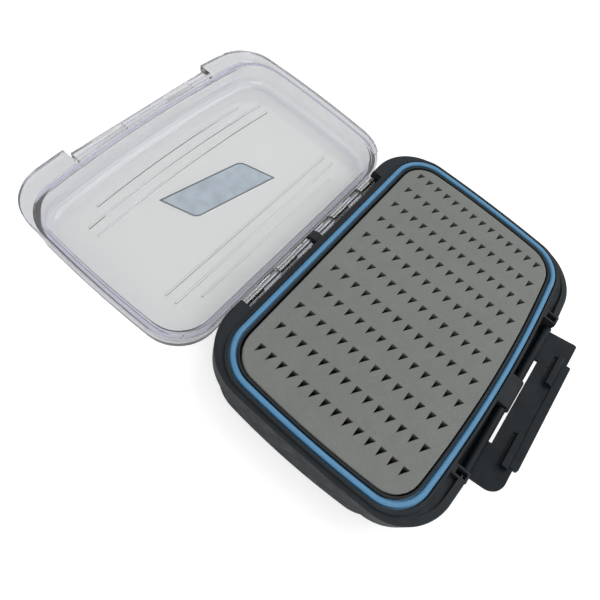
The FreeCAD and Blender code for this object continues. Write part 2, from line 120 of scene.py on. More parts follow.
class FinishColours(bpy.types.PropertyGroup):
    base: FloatVectorProperty(
        name="Base colour", description="Colour of the moulded base", default=(0.017, 0.021, 0.024),
        subtype="COLOR", size=3, min=0.0, max=1.0)
    latch: FloatVectorProperty(
        name="Latch colour", description="Colour of the latch", default=(0.004, 0.0077, 0.011),
        subtype="COLOR", size=3, min=0.0, max=1.0)
    seal: FloatVectorProperty(
        name="Seal colour", description="Colour of the seal", default=(0.068, 0.225, 0.400),
        subtype="COLOR", size=3, min=0.0, max=1.0)
    clear: FloatVectorProperty(
        name="Lid tint", description="Tint of the clear plastic", default=(0.755, 0.765, 0.74),
        subtype="COLOR", size=3, min=0.0, max=1.0)
    badge: FloatVectorProperty(
        name="Badge colour", description="Colour of the blank badge", default=(0.56, 0.635, 0.755),
        subtype="COLOR", size=3, min=0.0, max=1.0)
    steel: FloatVectorProperty(
        name="Pin colour", description="Colour of the steel pins", default=(0.30, 0.31, 0.33),
        subtype="COLOR", size=3, min=0.0, max=1.0)
    board: FloatVectorProperty(
        name="Board colour", description="Colour of the board under the foam", default=(0.02, 0.021, 0.022),
        subtype="COLOR", size=3, min=0.0, max=1.0)
    adhesive: FloatVectorProperty(
        name="Adhesive colour", description="Colour of the adhesive sheet", default=(0.45, 0.42, 0.33),
        subtype="COLOR", size=3, min=0.0, max=1.0)


class BadgeSizes(bpy.types.PropertyGroup):
    length: FloatProperty(
        name="Badge length", description="Length along the tilted sides", default=48.0 * MM, unit="LENGTH")
    width: FloatProperty(
        name="Badge width", description="Length of the leaning sides", default=19.6 * MM, unit="LENGTH")
    tilt: FloatProperty(
        name="Badge tilt", description="Angle of the long sides to the hinge", default=math.radians(12.0),
        subtype="ANGLE")
    lean: FloatProperty(
        name="Badge lean", description="Angle of the short sides", default=math.radians(17.0),
        subtype="ANGLE")
    corner: FloatProperty(
        name="Round corner", description="Radius of the two round corners", default=5.0 * MM, unit="LENGTH")
    # The border is the band of painted shade round the badge's edge.
    border: FloatProperty(
        name="Border", description="Width of the dark border", default=0.55 * MM, unit="LENGTH")


class StageSettings(bpy.types.PropertyGroup):
    floor_half: FloatProperty(
        name="Floor", description="Half the floor's side", default=1.5, unit="LENGTH")
    floor_drop: FloatProperty(
        name="Floor drop", description="Air under the box, so that no two faces share one place",
        default=0.05 * MM, unit="LENGTH")
    key_power: FloatProperty(name="Key lamp", description="Strength of the large lamp", default=4.3, min=0.0)
    fill_power: FloatProperty(
        name="Fill lamp", description="Strength of the second lamp", default=2.6, min=0.0)
    sky: FloatProperty(name="Sky", description="Strength of the even light all round", default=0.60, min=0.0)
    floor_glow: FloatProperty(
        name="Floor glow", description="Light added to the floor where it is looked at", default=0.50,
        min=0.0)
    mirrored_glow: FloatProperty(
        name="Glow in clear plastic", description="Light added to the floor where plastic or metal shows it",
        default=0.16, min=0.0)


# Building blocks for materials


class Finish:
    """One material and its nodes."""

    def __init__(self, name):
        self.material = bpy.data.materials.new(name)
        self.material.use_nodes = True
        self.tree = self.material.node_tree
        self.tree.nodes.clear()
        self.output = self.tree.nodes.new("ShaderNodeOutputMaterial")

    def node(self, kind, **settings):
        made = self.tree.nodes.new(kind)
        for key, value in settings.items():
            setattr(made, key, value)
        return made

    def link(self, source, target):
        self.tree.links.new(source, target)

    def shader(self, colour, roughness, **sockets):
        """The main shader with its constants written on its own sockets."""
        made = self.node("ShaderNodeBsdfPrincipled")
        made.inputs["Base Color"].default_value = (*colour, 1.0)
        made.inputs["Roughness"].default_value = roughness
        for key, value in sockets.items():
            made.inputs[key.replace("_", " ")].default_value = value
        self.link(made.outputs[0], self.output.inputs["Surface"])
        return made

    def place(self):
        """Place on the piece, in metres."""
        return self.node("ShaderNodeTexCoord").outputs["Object"]

    def noise(self, size, detail=3.0, roughness=0.55, place=None, stretch=None):
        """Cloudy pattern whose spots are about size metres wide."""
        made = self.node("ShaderNodeTexNoise")
        made.inputs["Scale"].default_value = 1.0 / size
        made.inputs["Detail"].default_value = detail
        made.inputs["Roughness"].default_value = roughness
        source = place or self.place()
        if stretch:
            mapping = self.node("ShaderNodeMapping")
            mapping.inputs["Scale"].default_value = stretch
            self.link(source, mapping.inputs["Vector"])
            source = mapping.outputs[0]
        self.link(source, made.inputs["Vector"])
        return made.outputs["Fac"]

    def ramp(self, value, stops):
        """Colours or greys along a value from 0 to 1."""
        made = self.node("ShaderNodeValToRGB")
        elements = made.color_ramp.elements
        while len(elements) < len(stops):
            elements.new(0.5)
        for element, (at, colour) in zip(elements, stops):
            element.position = at
            element.color = (*colour, 1.0) if len(colour) == 3 else colour
        self.link(value, made.inputs["Fac"])
        return made.outputs["Color"]

    def span(self, value, low, high, to_low, to_high):
        """A value's range moved onto another range."""
        made = self.node("ShaderNodeMapRange")
        for key, number in (("From Min", low), ("From Max", high), ("To Min", to_low), ("To Max", to_high)):
            made.inputs[key].default_value = number
        self.link(value, made.inputs["Value"])
        return made.outputs["Result"]

    def blend(self, share, first, second):
        """Two colours mixed by a share. A colour is a socket or three numbers."""
        made = self.node("ShaderNodeMix", data_type="RGBA")
        if isinstance(share, float):
            made.inputs["Factor"].default_value = share
        else:
            self.link(share, made.inputs["Factor"])
        for key, colour in (("A", first), ("B", second)):
            target = [s for s in made.inputs if s.name == key and s.type == "RGBA"][0]
            if isinstance(colour, bpy.types.NodeSocket):
                self.link(colour, target)
            else:
                target.default_value = (*colour, 1.0)
        return [s for s in made.outputs if s.type == "RGBA"][0]

    def sum(self, operation, first, second):
        made = self.node("ShaderNodeMath", operation=operation)
        for target, value in zip(made.inputs, (first, second)):
            if isinstance(value, bpy.types.NodeSocket):
                self.link(value, target)
            else:
                target.default_value = value
        return made.outputs[0]

    def relief(self, shader, height, depth, edge=0.0):
        """Bump of the given depth in metres, over edges rounded by a small radius."""
        bump = self.node("ShaderNodeBump")
        bump.inputs["Strength"].default_value = 1.0
        bump.inputs["Distance"].default_value = depth
        self.link(height, bump.inputs["Height"])
        if edge:
            bevel = self.node("ShaderNodeBevel", samples=4)
            bevel.inputs["Radius"].default_value = edge
            self.link(bevel.outputs[0], bump.inputs["Normal"])
        self.link(bump.outputs[0], shader.inputs["Normal"])


def shade(colour, factor):
    return tuple(min(1.0, channel * factor) for channel in colour)


def dress(obj, material):
    """The piece takes this one material."""
    obj.data.materials.clear()
    obj.data.materials.append(material)
    for slot in obj.material_slots:
        slot.link = "DATA"


# Materials


def moulded_plastic(name, colour, shine=0.28, grain=0.34 * MM, edge=0.25 * MM):
    """Dark moulded plastic: eroded fine grain, faint cloudy colour, worn and lighter where it is handled."""
    finish = Finish(name)
    shader = finish.shader(colour, 0.55, Specular_IOR_Level=shine)
    cloud = finish.noise(18 * MM, detail=4.0)
    specks = finish.noise(grain, detail=2.0, roughness=0.6)
    tone = finish.ramp(cloud, [(0.30, shade(colour, 0.86)), (0.72, shade(colour, 1.16))])
    dust = finish.span(specks, 0.45, 0.80, 0.0, 0.22)
    finish.link(finish.blend(dust, tone, shade(colour, 1.9)), shader.inputs["Base Color"])
    wear = finish.noise(7 * MM, detail=5.0)
    finish.link(finish.span(wear, 0.30, 0.70, 0.46, 0.64), shader.inputs["Roughness"])
    finish.relief(shader, specks, 0.035 * MM, edge)
    return finish.material


DUST_ON_BLUE = (0.42, 0.56, 0.70)


def soft_rubber(name, colour):
    """Satin silicone: even colour with faint streaks along it, fine dust and a soft skin."""
    finish = Finish(name)
    shader = finish.shader(colour, 0.42, Specular_IOR_Level=0.45)
    cloud = finish.noise(9 * MM, detail=3.0)
    specks = finish.noise(0.5 * MM, detail=3.0)
    tone = finish.ramp(cloud, [(0.25, shade(colour, 0.92)), (0.75, shade(colour, 1.10))])
    dust = finish.span(specks, 0.50, 0.85, 0.0, 0.18)
    finish.link(finish.blend(dust, tone, DUST_ON_BLUE), shader.inputs["Base Color"])
    finish.link(finish.span(specks, 0.2, 0.8, 0.36, 0.52), shader.inputs["Roughness"])
    finish.relief(shader, specks, 0.03 * MM)
    return finish.material


CELL_SIZE = 0.55 * MM


def cell_foam(name, colour):
    """Closed cell foam: a skin of tiny cells with painted shade in their hollows, mottled tone, and painted
    shade deep in the slots.
    """
    finish = Finish(name)
    shader = finish.shader(colour, 0.88, Specular_IOR_Level=0.25, Sheen_Weight=0.15, Sheen_Roughness=0.6)
    place = finish.place()
    cells = finish.node("ShaderNodeTexVoronoi", feature="SMOOTH_F1")
    cells.inputs["Scale"].default_value = 1.0 / CELL_SIZE
    finish.link(place, cells.inputs["Vector"])
    mottle = finish.noise(5.5 * MM, detail=6.0, roughness=0.62, place=place)
    wide = finish.noise(40 * MM, detail=2.0, place=place)
    tone = finish.ramp(mottle, [(0.28, shade(colour, 0.90)), (0.72, shade(colour, 1.10))])
    drift = finish.ramp(wide, [(0.30, shade(colour, 0.93)), (0.70, shade(colour, 1.08))])
    mixed = finish.blend(0.45, tone, drift)
    # Painted shade in the hollow of each tiny cell.
    cell_shade = finish.span(cells.outputs["Distance"], 0.0, 0.55, 0.42, 0.0)
    mixed = finish.blend(cell_shade, mixed, shade(colour, 0.70))
    # Painted shade: the foam darkens down each slot by the share on each ring, stored as slot_depth.
    depth = finish.node("ShaderNodeAttribute", attribute_name="slot_depth")
    finish.link(finish.blend(depth.outputs["Fac"], mixed, shade(colour, 0.16)), shader.inputs["Base Color"])
    finish.relief(shader, cells.outputs["Distance"], 0.09 * MM)
    return finish.material


LAMPLIGHT_THROUGH = (0.955, 0.96, 0.95)    # share of a lamp's light that passes a wall
DEPTH_TINT = (0.75, 0.74, 0.87)            # what a long way through the plastic leaves of white
DEPTH_DENSITY = 100.0                      # per metre
GLOW_COLOUR = (0.90, 0.93, 0.66)           # colour of the painted glow inside the plastic; it evens out what the depth takes from yellow
GLOW_STRENGTH = 3.8                        # painted glow inside the plastic, standing in for light scattered there, per metre


def clear_plastic(name, tint):
    """Clear moulded plastic: a faint tint that deepens with the way through, hairline marks, a soft haze in
    its roughness and a painted glow inside it.
    """
    finish = Finish(name)
    shader = finish.shader(tint, 0.03, IOR=1.52, Transmission_Weight=1.0, Specular_IOR_Level=0.5)
    scratch = finish.noise(0.4 * MM, detail=2.0, stretch=(0.04, 1.0, 1.0))
    haze = finish.noise(12 * MM, detail=4.0)
    finish.link(finish.span(haze, 0.35, 0.75, 0.015, 0.06), shader.inputs["Roughness"])
    finish.relief(shader, scratch, 0.003 * MM)
    through = finish.node("ShaderNodeBsdfTransparent")
    through.inputs["Color"].default_value = (*LAMPLIGHT_THROUGH, 1.0)
    rays = finish.node("ShaderNodeLightPath")
    mix = finish.node("ShaderNodeMixShader")
    finish.link(rays.outputs["Is Shadow Ray"], mix.inputs[0])
    finish.link(shader.outputs[0], mix.inputs[1])
    finish.link(through.outputs[0], mix.inputs[2])
    finish.link(mix.outputs[0], finish.output.inputs["Surface"])
    depth = finish.node("ShaderNodeVolumeAbsorption")
    depth.inputs["Color"].default_value = (*DEPTH_TINT, 1.0)
    depth.inputs["Density"].default_value = DEPTH_DENSITY
    # Painted glow: the plastic's inside gives off a little light, so long ways through it are not dark.
    painted_glow = finish.node("ShaderNodeEmission")
    painted_glow.inputs["Color"].default_value = (*GLOW_COLOUR, 1.0)
    painted_glow.inputs["Strength"].default_value = GLOW_STRENGTH
    both = finish.node("ShaderNodeAddShader")
    finish.link(depth.outputs[0], both.inputs[0])
    finish.link(painted_glow.outputs[0], both.inputs[1])
    finish.link(both.outputs[0], finish.output.inputs["Volume"])
    return finish.material


# Painted shade round the badge's edge and over its sides.
EDGE_SHADE_COLOUR = (0.055, 0.075, 0.10)


def badge_film(name, colour):
    """Pale satin plate with painted shade as a dark band round its edge and over its sides, cloudy as if
    seen through moulded plastic.
    """
    finish = Finish(name)
    shader = finish.shader(colour, 0.32, Specular_IOR_Level=0.5)
    cloud = finish.noise(6 * MM, detail=3.0)
    tone = finish.ramp(cloud, [(0.28, shade(colour, 0.84)), (0.74, shade(colour, 1.16))])
    # Painted shade: the points marked as border take a dark colour, standing for the plate's shaded sides.
    border = finish.node("ShaderNodeAttribute", attribute_name="border")
    dark = finish.blend(border.outputs["Fac"], tone, EDGE_SHADE_COLOUR)
    finish.link(dark, shader.inputs["Base Color"])
    grain = finish.noise(0.6 * MM, detail=2.0)
    finish.link(finish.span(grain, 0.3, 0.7, 0.26, 0.40), shader.inputs["Roughness"])
    finish.relief(shader, grain, 0.01 * MM)
    return finish.material


def drawn_steel(name, colour):
    """Drawn steel wire: fine lines round the length, duller in places."""
    finish = Finish(name)
    shader = finish.shader(colour, 0.28, Metallic=1.0)
    lines = finish.noise(0.3 * MM, detail=3.0, stretch=(0.05, 1.0, 1.0))
    dull = finish.noise(4 * MM, detail=3.0)
    finish.link(finish.ramp(dull, [(0.3, shade(colour, 0.8)), (0.7, shade(colour, 1.1))]),
                shader.inputs["Base Color"])
    finish.link(finish.span(lines, 0.3, 0.7, 0.32, 0.55), shader.inputs["Roughness"])
    finish.relief(shader, lines, 0.01 * MM)
    return finish.material


def plain_sheet(name, colour, roughness):
    """Thin sheet stock: fine fibres and uneven tone."""
    finish = Finish(name)
    shader = finish.shader(colour, roughness)
    fibres = finish.noise(0.8 * MM, detail=4.0, stretch=(0.3, 1.0, 1.0))
    finish.link(finish.ramp(fibres, [(0.3, shade(colour, 0.85)), (0.7, shade(colour, 1.15))]),
                shader.inputs["Base Color"])
    finish.relief(shader, fibres, 0.02 * MM)
    return finish.material


# Building blocks for shapes


def circle_through(start, middle, end):
    """Centre and radius of the circle through three points: the centre is as far from all three."""
    rows = 2.0 * np.array([middle - start, end - start])
    sums = np.array([middle @ middle - start @ start, end @ end - start @ start])
    centre = np.linalg.solve(rows, sums)
    return centre, np.linalg.norm(start - centre)


def crossing(first, second, near):
    """Where two circles cross, of the two places the one nearer to a point."""
    (centre_a, radius_a), (centre_b, radius_b) = first, second
    gap = centre_b - centre_a
    distance = np.linalg.norm(gap)
    along = (radius_a ** 2 - radius_b ** 2 + distance ** 2) / (2.0 * distance)
    aside = math.sqrt(max(radius_a ** 2 - along ** 2, 0.0))
    foot = centre_a + along * gap / distance
    normal = np.array([-gap[1], gap[0]]) / distance
    places = [foot + aside * normal, foot - aside * normal]
    return min(places, key=lambda p: np.linalg.norm(p - near))


REAR_BOW_SHARE = 1e-4          # the straight rear side is an arc that bows out by this share of its place


def box_outline(half, rear, front, radius, side_bow, front_bow, side_counts):
    """The box's outline, counted from the middle of the left rear corner, clockwise from above.

    Four shallow arcs joined by round corners. Each arc is drawn in by the corner radius about its own
    centre, neighbouring arcs cross at the corner centres, and every point is a centre plus a radius times
    a direction that turns evenly along the arc.
    """
    nearly_straight = rear * REAR_BOW_SHARE
    corner_x = half - side_bow
    corner_y = -(front - front_bow)
    middle = (rear - front) / 2.0
    corners = np.array([[-corner_x, rear], [corner_x, rear], [corner_x, corner_y], [-corner_x, corner_y]])
    bulges = np.array([[0.0, rear + nearly_straight], [half, middle], [0.0, -front], [-half, middle]])
    circles = []
    for k in range(4):
        centre, reach = circle_through(corners[k], bulges[k], corners[(k + 1) % 4])
        circles.append((centre, reach - radius))
    centres = [crossing(circles[k - 1], circles[k], corners[k]) for k in range(4)]
    points = []
    for k, count in enumerate(side_counts):
        start, end = centres[k], centres[(k + 1) % 4]
        before = heading(start - circles[k - 1][0])
        after = heading(start - circles[k][0])
        mid_corner = turn(before, after, 0.5)
        end_before = heading(end - circles[k][0])
        end_after = heading(end - circles[(k + 1) % 4][0])
        mid_end = turn(end_before, end_after, 0.5)
        run = np.concatenate([
            arc(start, radius, mid_corner, turn(before, after, 1.0)),
            arc(circles[k][0], circles[k][1] + radius, after, turn(after, end_before, 1.0)),
            arc(end, radius, end_before, mid_end),
        ])
        points.append(evenly(run, count))
    return np.concatenate(points)


def heading(vector):
    return math.atan2(vector[1], vector[0])


def turn(start, end, share):
    """Angle a share of the way from start to end, the short way round."""
    step = (end - start + math.pi) % (2.0 * math.pi) - math.pi
    return start + share * step


def arc(centre, radius, start, end, steps=48):
    """Points on a circle between two angles."""
    angle = np.linspace(start, turn(start, end, 1.0), steps)
    return centre + radius * np.stack([np.cos(angle), np.sin(angle)], axis=1)


def evenly(run, count):
    """count points along a run, evenly spaced by length, without the run's end."""
    steps = np.linalg.norm(np.diff(run, axis=0), axis=1)
    length = np.concatenate([[0.0], np.cumsum(steps)])
    at = np.linspace(0.0, length[-1], count + 1)[:-1]
    return np.stack([np.interp(at, length, run[:, i]) for i in (0, 1)], axis=1)


def inward(points, step):
    """A closed outline moved in by a step along its normals, which are a quarter turn from its tangents."""
    tangent = np.roll(points, -1, axis=0) - np.roll(points, 1, axis=0)
    tangent /= np.linalg.norm(tangent, axis=1)[:, None]
    normal = np.stack([tangent[:, 1], -tangent[:, 0]], axis=1)
    return points + step * normal


def ring_faces(count, layers, offset=0):
    """Faces between closed rings of points that lie one after another."""
    i = np.arange(count)
    j = (i + 1) % count
    rows = offset + count * np.arange(layers - 1)[:, None]
    return np.stack([rows + i, rows + j, rows + count + j, rows + count + i], axis=-1).reshape(-1, 4)


def new_piece(name, points, faces, smooth=True):
    mesh = bpy.data.meshes.new(name)
    mesh.from_pydata(points.tolist(), [], [list(f) for f in faces])
    mesh.update()
    obj = bpy.data.objects.new(name, mesh)
    bpy.context.scene.collection.objects.link(obj)
    mesh.polygons.foreach_set("use_smooth", [smooth] * len(mesh.polygons))
    return obj


def weld(obj, distance=0.002 * MM):
    """Joins the points that two neighbouring patches share, and turns all faces outwards."""
    shape = bmesh.new()
    shape.from_mesh(obj.data)
    bmesh.ops.remove_doubles(shape, verts=shape.verts, dist=distance)
    bmesh.ops.recalc_face_normals(shape, faces=shape.faces)
    shape.to_mesh(obj.data)
    shape.free()
    obj.data.update()


def point_attribute(obj, name, values):
    attribute = obj.data.attributes.new(name, "FLOAT", "POINT")
    attribute.data.foreach_set("value", np.asarray(values, np.float32))


# Foam


SLOT_SIDE_STEPS = 4            # steps on each side of the cell round a slot
TIP_STEP = 3                   # the step on the cell's left side that the slot's tip faces
CELL_STEPS = (-1.0, -0.55, -0.1, 0.3)    # of half a cell's width: a slot's short side faces the last one
RING_SHARES = (0.0, 0.35, 0.7, 1.0)
SLOT_TIP_SHARE = 0.667         # of a slot's length, from its middle to its tip
ROW_TAPER_SHARES = (0.0324, 0.0226)
LIP_LEVELS = (                 # a step out and a drop as shares of the lip, and how much painted shade it gets, 0 to 1
    (1.2, 0.0, 0.0), (1.0, 0.0, 0.0), (0.3, 0.25, 0.15), (0.0, 1.0, 0.5),
)
WALL_DRAFT_SHARE = -0.1        # of the lip: a slot's foot is narrower than its mouth
EDGE_ANGLES = (30.0, 60.0, 90.0)    # degrees down the rounding of the foam's upper edge
END_ROW_SHARES = (0.7, 0.36)   # of half a pitch: the outer side of the first and the last row's cells
END_SLOT_SHARES = (0.6, 1.05)  # the same for the cells nearest to the hinge and to the latch
FOAM_BOWS = (1.9 * MM, 4.2 * MM)
FOAM_CORNER = 12.75 * MM
WAVE_HEIGHT = 0.12 * MM
WAVE_LENGTH = 34.0 * MM
WAVE_RATIO = 0.8               # waves towards the latch for one wave along the box


def pulled_in(place, count, shares):
    """Places along a line of cells. Outside the first and the last middle, steps are a share as long."""
    last = count - 1
    after = last + (place - last) * shares[1]
    return np.where(place < 0.0, place * shares[0], np.where(place > last, after, place))


def foam_grid(sizes, u, v, rear):
    """Place of row u and slot v. x steps evenly, y steps by a pitch that shrinks with the square and the
    fourth power of the row's distance from the middle. The outermost cells have their own reach on the
    outside, so that the block of cells stays within the foam's round corners."""
    u = pulled_in(u, sizes.rows, END_ROW_SHARES)
    v = pulled_in(v, sizes.slots, END_SLOT_SHARES)
    middle = (sizes.rows - 1) / 2.0
    t = (u - middle) / middle
    pitch = sizes.slot_pitch * (1.0 - ROW_TAPER_SHARES[0] * t ** 2 - ROW_TAPER_SHARES[1] * t ** 4)
    x = sizes.row_shift + (u - middle) * sizes.row_pitch
    y = rear - sizes.first_slot - v * pitch
    return np.stack([x, y], axis=-1)


def cell_border():
    """Points round a unit square, clockwise from the place on its left side that a slot's tip faces, as
    shares of half its sides."""
    n = SLOT_SIDE_STEPS
    side = np.linspace(-1.0, 1.0, n + 1)[:-1]
    across = np.array(CELL_STEPS)
    back = np.concatenate([[1.0], across[:0:-1]])
    ones = np.ones(n)
    loop = np.concatenate([
        np.stack([-ones, side], axis=1), np.stack([across, ones], axis=1),
        np.stack([ones, -side], axis=1), np.stack([back, -ones], axis=1),
    ])
    return np.roll(loop, -TIP_STEP, axis=0)


def slot_outline(sizes):
    """A slot's right triangle as points that match the cell's border: tip, heel at the hinge side, toe."""
    n = SLOT_SIDE_STEPS
    high = sizes.slot_width * (1.0 - SLOT_TIP_SHARE)
    tip = np.array([-SLOT_TIP_SHARE * sizes.slot_length, high])
    heel = tip + np.array([sizes.slot_length, 0.0])
    toe = heel - np.array([0.0, sizes.slot_width])
    runs = ((tip, heel, 2 * n - 1 - TIP_STEP), (heel, toe, n + 2), (toe, tip, n - 1 + TIP_STEP))
    outline = [a + (b - a) * np.linspace(0.0, 1.0, count + 1)[:-1, None] for a, b, count in runs]
    return np.concatenate(outline), tip, heel, toe


def grown(outline, tip, heel, toe, step):
    """A triangle's outline moved out by a step, by scaling it about the centre of its inscribed circle."""
    lengths = np.array([np.linalg.norm(heel - toe), np.linalg.norm(toe - tip), np.linalg.norm(tip - heel)])
    centre = (lengths[:, None] * np.array([tip, heel, toe])).sum(axis=0) / lengths.sum()
    area = abs(np.cross(heel - tip, toe - tip)) / 2.0
    inner_radius = 2.0 * area / lengths.sum()
    return centre + (outline - centre) * (1.0 + step / inner_radius)


def wavy(points, top):
    """The foam's top: level but for two crossing sine waves, a tenth of a millimetre high."""
    turns = 2.0 * math.pi / WAVE_LENGTH
    wave = np.sin(turns * points[..., 0]) * np.cos(WAVE_RATIO * turns * points[..., 1])
    return top - WAVE_HEIGHT * (0.5 + 0.5 * wave)


def foam_slots(sizes, rear, top):
    """Rings of points for all slots: from each cell's border over a soft lip down the walls.

    Every ring is the border or the triangle moved out by a step, at its own height, and carries its share of
    painted shade.
    """
    border = cell_border()
    outline, tip, heel, toe = slot_outline(sizes)
    u, v = np.meshgrid(np.arange(sizes.rows), np.arange(sizes.slots), indexing="ij")
    u = u.reshape(-1, 1).astype(float)
    v = v.reshape(-1, 1).astype(float)
    outer = foam_grid(sizes, u + border[:, 0] / 2.0, v - border[:, 1] / 2.0, rear)
    middle = foam_grid(sizes, u, v, rear)
    levels = [(step * sizes.lip, drop * sizes.lip, depth) for step, drop, depth in LIP_LEVELS]
    # A slot's foot takes the full painted shade.
    levels.append((WALL_DRAFT_SHARE * sizes.lip, sizes.slot_depth, 1.0))
    rings = [np.concatenate([outer, wavy(outer, top)[..., None]], axis=-1)]
    slot_shades = [np.zeros(outer.shape[:2])]
    for step, drop, depth in levels:
        flat = middle + grown(outline, tip, heel, toe, step)[None]
        height = wavy(flat, top) - drop
        rings.append(np.concatenate([flat, height[..., None]], axis=-1))
        slot_shades.append(np.full(outer.shape[:2], depth))
    return np.stack(rings, axis=1), np.stack(slot_shades, axis=1)


def block_border(sizes, rear):
    """Points round the whole block of cells, clockwise from its left rear corner."""
    n = SLOT_SIDE_STEPS
    across = (np.arange(sizes.rows)[:, None] + np.array(CELL_STEPS) / 2.0).reshape(-1)
    across = np.append(across, sizes.rows - 0.5)
    down = np.linspace(-0.5, sizes.slots - 0.5, sizes.slots * n + 1)
    runs = [
        (across[:-1], np.full(len(across) - 1, -0.5)),
        (np.full(len(down) - 1, sizes.rows - 0.5), down[:-1]),
        (across[:0:-1], np.full(len(across) - 1, sizes.slots - 0.5)),
        (np.full(len(down) - 1, -0.5), down[:0:-1]),
    ]
    return np.concatenate([foam_grid(sizes, u, v, rear) for u, v in runs])


def foam_rim(sizes, low, high):
    """Rings from the block of cells out to the edge, over its rounding, down the side and in underneath."""
    half = (high.x - low.x) / 2.0
    top = high.z
    n = SLOT_SIDE_STEPS
    counts = (sizes.rows * n, sizes.slots * n, sizes.rows * n, sizes.slots * n)
    edge = box_outline(half, high.y, -low.y, FOAM_CORNER, *FOAM_BOWS, counts)
    inner = block_border(sizes, high.y)
    flat_edge = inward(edge, sizes.edge)
    rings = []
    for share in RING_SHARES:
        flat = inner + (flat_edge - inner) * share
        rings.append(np.concatenate([flat, wavy(flat, top)[:, None]], axis=1))
    for angle in np.radians(EDGE_ANGLES):
        flat = inward(edge, sizes.edge * (1.0 - math.sin(angle)))
        height = wavy(flat, top) - sizes.edge * (1.0 - math.cos(angle))
        rings.append(np.concatenate([flat, height[:, None]], axis=1))
    for step, height in ((0.0, low.z + sizes.edge / 2.0), (sizes.edge / 2.0, low.z)):
        flat = inward(edge, step)
        rings.append(np.concatenate([flat, np.full((len(flat), 1), height)], axis=1))
    return np.stack(rings)


def make_foam(sizes):
    """The foam pad: cells with slots, the rim round them and a flat underside, as one closed mesh."""
    low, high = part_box("foam_pad")
    slots, slot_shades = foam_slots(sizes, high.y, high.z)
    count, layers, around = slots.shape[:3]
    points = [slots.reshape(-1, 3)]
    faces = []
    floors = []
    for k in range(count):
        start = k * layers * around
        faces.append(ring_faces(around, layers, start))
        floors.append(np.arange(start + (layers - 1) * around, start + layers * around))
    rim = foam_rim(sizes, low, high)
    start = count * layers * around
    points.append(rim.reshape(-1, 3))
    faces.append(ring_faces(rim.shape[1], rim.shape[0], start))
    last = start + (rim.shape[0] - 1) * rim.shape[1]
    floors.append(np.arange(last, last + rim.shape[1]))
    all_faces = [f for block in faces for f in block.tolist()] + [f.tolist() for f in floors]
    all_points = np.concatenate(points)
    foam = new_piece("foam_sheet", all_points, all_faces)
    rim_shades = np.zeros(rim.shape[0] * rim.shape[1])
    # The share of painted shade at each point, none on the rim.
    point_attribute(foam, "slot_depth", np.concatenate([slot_shades.reshape(-1), rim_shades]))
    weld(foam)
    return foam


# Badge


BADGE_PLACE = (1.6 * MM, -2.4 * MM)
BADGE_RING_SHARES = (0.0, 0.2, 1.0, 1.1, 2.0)     # of the border's width, from the edge in
BADGE_RINGS_BOTH = (
    [(share, 1, share > 1.0) for share in reversed(BADGE_RING_SHARES)]
    + [(share, 0, share > 1.0) for share in BADGE_RING_SHARES]
)
BADGE_BEVEL = 0.1 * MM
SHARP_CORNER_SHARE = 1.0 / 6.0     # of the border's width, the radius of the two sharp corners
CORNER_STEPS = 10


def badge_outline(sizes, step):
    """Slanted plate, moved in by a step on all sides, clockwise: two sharp and two round corners.

    Each half side gets shorter by the step over the sine of the angle between the sides, and the arcs of
    the round corners shrink by the step.
    """
    along = np.array([math.cos(sizes.tilt), math.sin(sizes.tilt)])
    across = np.array([math.sin(sizes.lean), math.cos(sizes.lean)])
    shorter = step / abs(math.cos(sizes.tilt + sizes.lean))
    along = along * (sizes.length / 2.0 - shorter)
    across = across * (sizes.width / 2.0 - shorter)
    middle = np.array(BADGE_PLACE)
    corners = [
        middle - along + across, middle + along + across, middle + along - across, middle - along - across,
    ]
    sharp = sizes.border * SHARP_CORNER_SHARE
    rounds = (max(sizes.corner - step, sharp), sharp) * 2
    points = []
    for k in range(4):
        points.append(round_corner(corners[k], corners[k - 1], corners[(k + 1) % 4], rounds[k]))
    return np.concatenate(points)


def round_corner(here, before, after, radius):
    """Arc of a radius in a corner: its centre lies on the middle line, and each side is its tangent."""
    a = (before - here) / np.linalg.norm(before - here)
    b = (after - here) / np.linalg.norm(after - here)
    half_angle = math.acos(np.clip(a @ b, -1.0, 1.0)) / 2.0
    bisector = (a + b) / np.linalg.norm(a + b)
    centre = here + bisector * radius / math.sin(half_angle)
    start = heading(here + a * radius / math.tan(half_angle) - centre)
    end = heading(here + b * radius / math.tan(half_angle) - centre)
    return arc(centre, radius, start, end, CORNER_STEPS)


def make_badge(sizes):
    """The badge: its outline carried inwards over a small bevel on both faces, and each point marked as
    border, which takes painted shade, or not.

    The lid's closed place is its open place mirrored about the hinge, and the outline is given for closed.
    The top lies half a bevel under the plain plate's, clear of the lid's pocket.
    """
    low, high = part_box("badge")
    hinge = [j for j in frame["joints"] if j["name"] == "lid_hinge"][0]["pos_m"]
    rings, border = [], []
    for share, face, inside in BADGE_RINGS_BOTH:
        step = share * sizes.border
        flat = badge_outline(sizes, step)
        flat[:, 1] = 2.0 * hinge[1] - flat[:, 1]
        slope = max(0.0, BADGE_BEVEL - step)
        level = high.z - BADGE_BEVEL / 2.0 - slope if face else low.z + slope
        rings.append(np.column_stack([flat, np.full(len(flat), level)]))
        border.append(np.full(len(flat), 0.0 if inside else 1.0))
    count = len(rings[0])
    points = np.concatenate(rings)
    faces = ring_faces(count, len(rings)).tolist()
    faces.append(list(range(count)))
    faces.append(list(range(count * (len(rings) - 1), count * len(rings))))
    badge = new_piece("badge_plate", points, faces, smooth=False)
    point_attribute(badge, "border", np.concatenate(border))
    weld(badge)
    return badge


# Operators


class FLYBOX_OT_base(bpy.types.Operator):
    """Finish of the moulded base"""

    bl_idname = "flybox.base"
    bl_label = "Base"

    def execute(self, context):
        colours = context.scene.flybox_colours
        dress(frame["nodes"]["base_tray"], moulded_plastic("base plastic", colours.base, shine=0.16))
        return {"FINISHED"}


